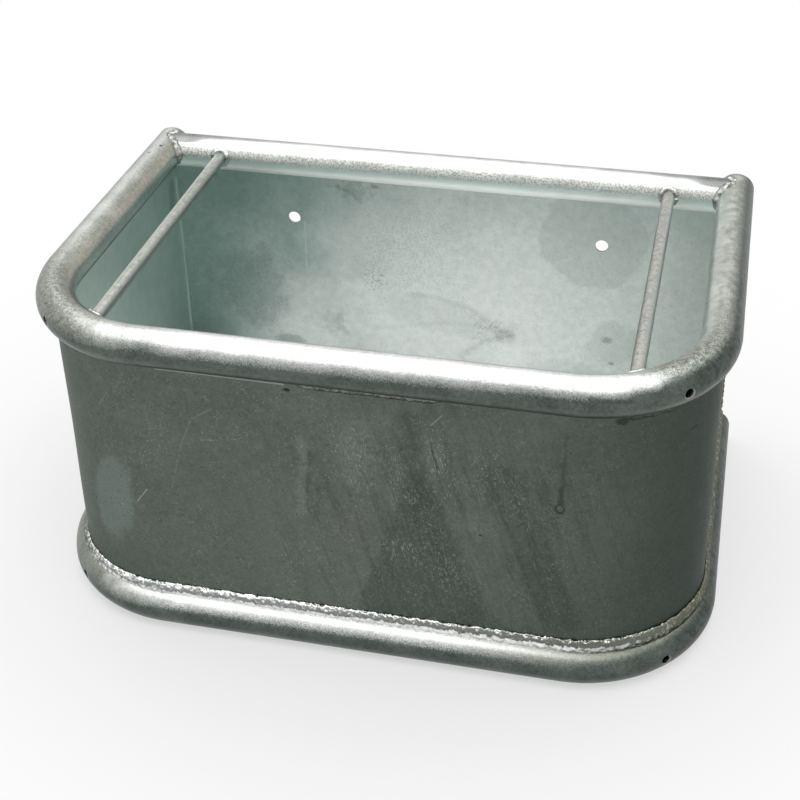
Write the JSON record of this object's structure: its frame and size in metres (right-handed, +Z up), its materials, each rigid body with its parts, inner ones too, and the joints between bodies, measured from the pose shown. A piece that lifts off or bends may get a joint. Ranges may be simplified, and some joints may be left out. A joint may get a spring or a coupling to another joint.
{
  "type": "feed trough",
  "caption": "Wall-hung galvanised steel feed trough: sheet body with round front corners between two bent pipe rims, a flat back with bolt holes, and round cross bars over the mouth.",
  "frame": {"origin": "middle of the footprint, on the surface under the bottom rim", "axes": "+X along the front to the right, +Y to the flat back that goes against a wall, +Z up"},
  "size_m": [0.604, 0.392, 0.31],
  "materials": {
    "galvanised_pipe": "hot-dip galvanised, bright and grainy",
    "galvanised_sheet": "hot-dip galvanised, grey with pale streaks and stains",
    "galvanised_bar": "hot-dip galvanised, mottled",
    "weld_metal": "rough weld bead under zinc"
  },
  "bodies": {
    "root": {"top_rim_pipe": "galvanised_pipe", "bottom_rim_pipe": "galvanised_pipe", "rear_rail": "galvanised_pipe", "top_left_end_plate": "galvanised_pipe", "top_right_end_plate": "galvanised_pipe", "bottom_left_end_plate": "galvanised_pipe", "bottom_right_end_plate": "galvanised_pipe", "wall_sheet": "galvanised_sheet", "back_plate": "galvanised_sheet", "floor_plate": "galvanised_sheet", "left_cross_bar": "galvanised_bar", "right_cross_bar": "galvanised_bar", "bottom_rim_weld": "weld_metal", "top_rim_stitch_welds": "weld_metal", "floor_seam_weld": "weld_metal", "back_plate_top_weld": "weld_metal", "left_cross_bar_welds": "weld_metal", "right_cross_bar_welds": "weld_metal", "left_rear_corner_weld": "weld_metal", "right_rear_corner_weld": "weld_metal", "left_back_seam_weld": "weld_metal", "right_back_seam_weld": "weld_metal"}
  },
  "joints": []
}
